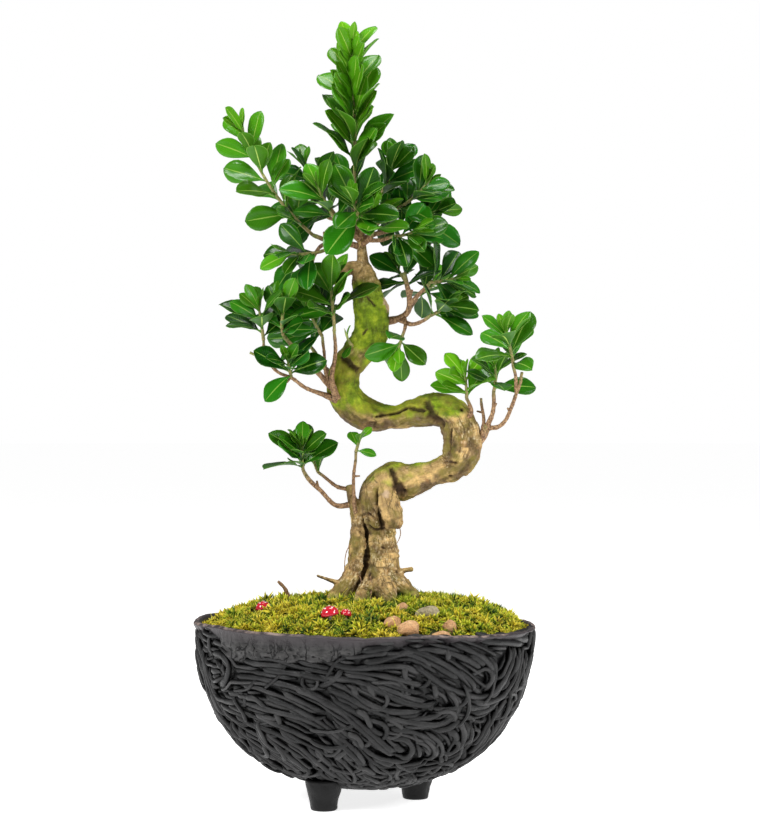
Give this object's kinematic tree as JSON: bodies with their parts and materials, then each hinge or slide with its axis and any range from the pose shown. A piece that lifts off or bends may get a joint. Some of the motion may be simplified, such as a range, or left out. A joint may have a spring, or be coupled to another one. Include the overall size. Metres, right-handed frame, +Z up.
{
  "type": "potted ficus ginseng bonsai",
  "caption": "Ficus bonsai with an S-shaped trunk and glossy leafy shoots, growing in a mossed round bowl on stub feet; a standing decorative plant",
  "frame": {"origin": "on the bowl's axis, on the surface that its three feet stand on", "axes": "+Z up, -Y towards the side that the tree is looked at from, +X to that viewer's right"},
  "size_m": [0.4, 0.4, 0.9124],
  "materials": {
    "bowl": "matte charcoal black cast ware, hand-laid strands all over, rubbed brown at the rim",
    "soil": "damp dark potting soil, crumbly and fully matte",
    "moss": "live cushion moss, deep green to lime and straw, matte",
    "bark": "grey-tan ficus bark with dark furrows and green algae, low sheen",
    "leaf": "glossy deep green ficus leaf with a pale midrib and a paler matte underside",
    "stone": "weathered buff stone, rough and matte",
    "toadstool_red": "glossy red lacquer with white dots",
    "toadstool_cream": "cream painted stem, matte"
  },
  "bodies": {
    "root": {"bowl": "bowl", "fallen_twig": "bark", "moss": "moss", "shoot_bend_middle": "leaf", "shoot_bend_near": "leaf", "shoot_bend_outer": "leaf", "shoot_crown_back_high": "leaf", "shoot_crown_back_left": "leaf", "shoot_crown_back_right": "leaf", "shoot_crown_front": "leaf", "shoot_crown_front_right": "leaf", "shoot_crown_left_back": "leaf", "shoot_crown_left_front": "leaf", "shoot_crown_left_long": "leaf", "shoot_crown_low_left": "leaf", "shoot_crown_low_left_back": "leaf", "shoot_crown_right": "leaf", "shoot_crown_right_high": "leaf", "shoot_crown_right_low": "leaf", "shoot_crown_young": "leaf", "shoot_left_back": "leaf", "shoot_left_inner": "leaf", "shoot_left_low": "leaf", "shoot_left_middle": "leaf", "shoot_left_outer": "leaf", "shoot_left_upright": "leaf", "shoot_low_left": "leaf", "shoot_low_left_small": "leaf", "shoot_low_thin": "leaf", "shoot_right_back": "leaf", "shoot_right_drooping": "leaf", "shoot_right_hanging": "leaf", "shoot_right_outer": "leaf", "shoot_right_upper": "leaf", "shoot_spire": "leaf", "shoot_trunk_sprout": "leaf", "soil": "soil", "stone_edge": "stone", "stone_front": "stone", "stone_front_left": "stone", "stone_long": "stone", "stone_right": "stone", "stone_root": "stone", "toadstool_left_cap": "toadstool_red", "toadstool_left_pick": "toadstool_cream", "toadstool_middle_cap": "toadstool_red", "toadstool_middle_pick": "toadstool_cream", "toadstool_small_cap": "toadstool_red", "toadstool_small_pick": "toadstool_cream", "tree_wood": "bark"}
  },
  "joints": []
}
